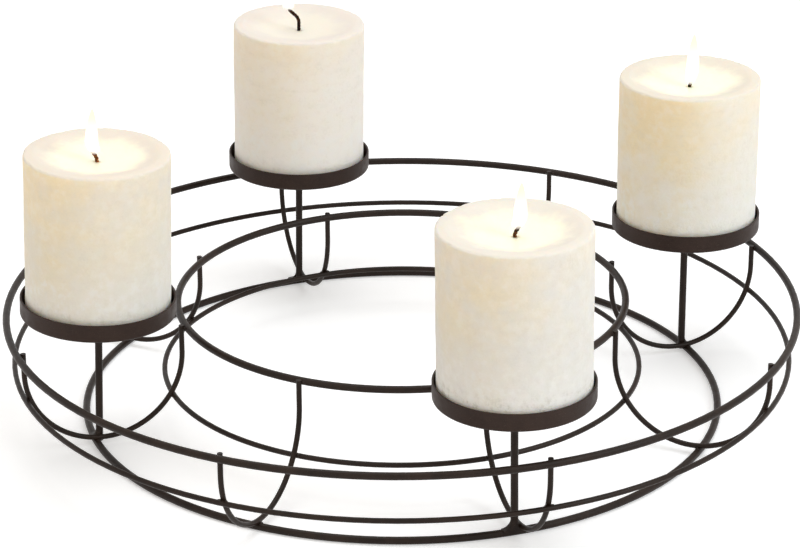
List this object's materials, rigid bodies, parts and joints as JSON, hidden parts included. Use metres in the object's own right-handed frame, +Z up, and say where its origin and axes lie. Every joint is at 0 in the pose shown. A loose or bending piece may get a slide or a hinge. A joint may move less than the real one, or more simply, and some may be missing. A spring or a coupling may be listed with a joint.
{
  "type": "advent candle holder",
  "caption": "Round welded wire wreath frame with an open trough and raised cups that hold pillar candles, to stand on a table and be dressed with greenery.",
  "frame": {"origin": "centre of the base ring, on the surface that the holder stands on", "axes": "+Z up along the wreath's axis, the candles on the X and Y axes, the foremost candle at -Y"},
  "size_m": [0.3999, 0.4, 0.1611],
  "materials": {
    "painted_wire": "dark brown satin powder coat",
    "painted_cup": "dark brown satin powder coat on pressed sheet",
    "ivory_wax": "mottled ivory candle wax",
    "wick_cotton": "charred braided cotton"
  },
  "bodies": {
    "frame": {"outer_top_ring": "painted_wire", "inner_top_ring": "painted_wire", "base_ring": "painted_wire", "outer_mid_ring": "painted_wire", "inner_mid_ring": "painted_wire", "rib_1": "painted_wire", "rib_2": "painted_wire", "rib_3": "painted_wire", "rib_4": "painted_wire", "rib_5": "painted_wire", "rib_6": "painted_wire", "rib_7": "painted_wire", "rib_8": "painted_wire", "candle_post_1": "painted_wire", "candle_cup_1": "painted_cup", "candle_post_2": "painted_wire", "candle_cup_2": "painted_cup", "candle_post_3": "painted_wire", "candle_cup_3": "painted_cup", "candle_post_4": "painted_wire", "candle_cup_4": "painted_cup", "post_foot_welds": "painted_wire", "cup_welds": "painted_wire"},
    "candle_1": {"candle_wax_1": "ivory_wax", "wick_1": "wick_cotton"},
    "candle_2": {"candle_wax_2": "ivory_wax", "wick_2": "wick_cotton"},
    "candle_3": {"candle_wax_3": "ivory_wax", "wick_3": "wick_cotton"},
    "candle_4": {"candle_wax_4": "ivory_wax", "wick_4": "wick_cotton"}
  },
  "joints": [
    {"name": "candle_1_lift", "type": "slide", "parent": "frame", "child": "candle_1", "axis": [-0.0082, 0.003, 1], "range_m": [0, 0.1]},
    {"name": "candle_2_lift", "type": "slide", "parent": "frame", "child": "candle_2", "axis": [0, 0, 1], "range_m": [0, 0.1]},
    {"name": "candle_3_lift", "type": "slide", "parent": "frame", "child": "candle_3", "axis": [0.0148, -0.0054, 0.9999], "range_m": [0, 0.1]},
    {"name": "candle_4_lift", "type": "slide", "parent": "frame", "child": "candle_4", "axis": [0.0312, -0.0113, 0.9995], "range_m": [0, 0.1]}
  ]
}
